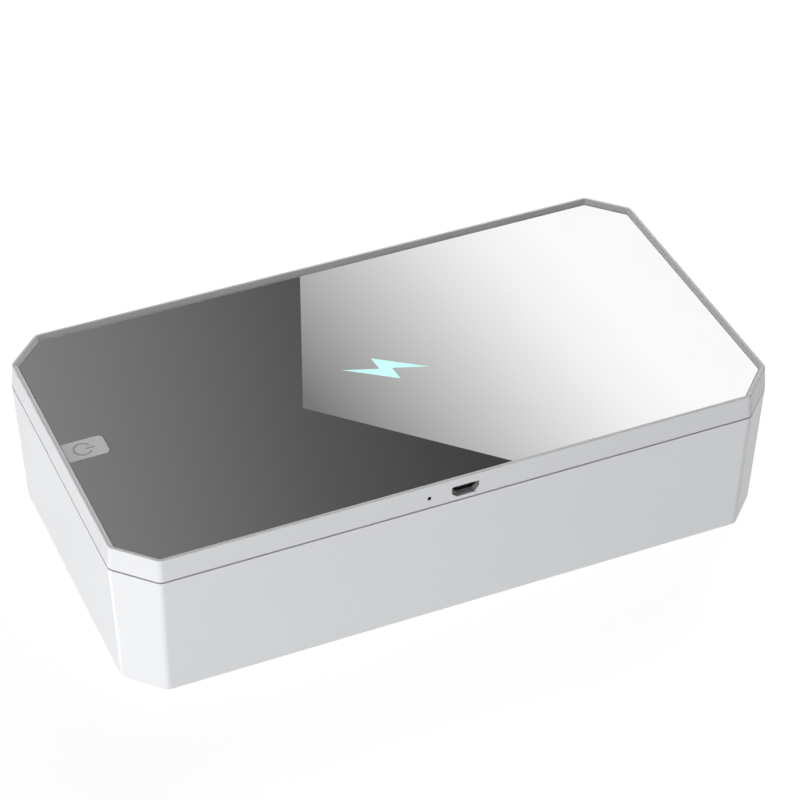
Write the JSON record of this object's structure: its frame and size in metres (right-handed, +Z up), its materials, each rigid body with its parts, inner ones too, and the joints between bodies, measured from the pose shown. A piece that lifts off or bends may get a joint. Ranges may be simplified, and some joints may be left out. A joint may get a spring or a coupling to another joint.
{
  "type": "uv sanitizer box",
  "caption": "Hinged box that cleans a phone with ultraviolet light and charges one laid on its mirror lid; chamfered corners, flush power key and micro-USB socket.",
  "frame": {"origin": "on the table under the middle of the box, at the underside of the rubber feet", "axes": "+X along the box away from the power key, -Y out of the front with the socket, +Z up through the mirror"},
  "size_m": [0.22, 0.1185, 0.054],
  "materials": {
    "shell_white": "satin moulded ABS",
    "tray_silver": "vacuum-metallised ABS, reflective",
    "seal_grey": "soft silicone",
    "magnet_nickel": "nickel-plated magnet",
    "screw_steel": "zinc-plated steel",
    "foot_rubber": "moulded rubber",
    "pin_steel": "ground steel",
    "mirror": "silvered sheet, polished",
    "tape_black": "foam tape",
    "bolt_window": "translucent acrylic",
    "cover_white": "satin moulded ABS",
    "board_green": "glass-fibre board with solder resist",
    "chip_black": "moulded epoxy",
    "lamp_white": "lamp body with phosphor",
    "pipe_smoke": "smoked acrylic",
    "usb_steel": "tin-plated steel",
    "tongue_black": "moulded nylon",
    "contact_gold": "gold-plated copper alloy",
    "coil_copper": "enamelled copper wire",
    "ferrite_grey": "sintered ferrite",
    "switch_black": "moulded nylon",
    "key_white": "fine matt moulded ABS",
    "lead_white": "PVC insulation",
    "uv_lamp": "ceramic lamp body",
    "quartz": "polished quartz"
  },
  "bodies": {
    "base": {"base_shell": "shell_white", "inner_tray": "tray_silver", "rim_seal": "seal_grey", "base_magnets": "magnet_nickel", "interlock_magnet": "magnet_nickel", "tray_screws": "screw_steel", "rubber_feet": "foot_rubber", "hinge_pin_left": "pin_steel", "hinge_pin_right": "pin_steel"},
    "lid": {"lid_frame": "shell_white", "mirror_panel": "mirror", "mirror_tape": "tape_black", "bolt_light_guide": "bolt_window", "lid_inner_cover": "cover_white", "cover_screws": "screw_steel", "main_board": "board_green", "board_screws": "screw_steel", "board_chips": "chip_black", "hall_sensor": "chip_black", "bolt_led": "lamp_white", "status_led": "lamp_white", "status_light_pipe": "pipe_smoke", "usb_shell": "usb_steel", "usb_tongue": "tongue_black", "usb_contacts": "contact_gold", "charge_coil": "coil_copper", "ferrite_plate": "ferrite_grey", "key_board": "board_green", "key_board_screws": "screw_steel", "tact_switch": "switch_black", "key_lead": "lead_white", "uv_board_front": "board_green", "uv_board_rear": "board_green", "uv_board_screws": "screw_steel", "uv_leds": "uv_lamp", "uv_windows": "quartz", "board_link_pins": "contact_gold", "lid_magnets": "magnet_nickel"},
    "key": {"power_key": "key_white"},
    "plunger": {"switch_plunger": "switch_black"}
  },
  "joints": [
    {"name": "lid_hinge", "type": "hinge", "parent": "base", "child": "lid", "pos_m": [0, 0.05725, 0.04587], "axis": [-1, 0, 0], "range_deg": [0, 100]},
    {"name": "power_key_press", "type": "slide", "parent": "lid", "child": "key", "axis": [0, 0, -1], "range_m": [0, 0.0005], "stiffness_N_per_m": 3000},
    {"name": "switch_plunger_press", "type": "slide", "parent": "lid", "child": "plunger", "axis": [0, 0, -1], "range_m": [0, 0.0005]}
  ],
  "couplings": [
    {"joint": "switch_plunger_press", "follows": "power_key_press", "ratio": 1}
  ]
}
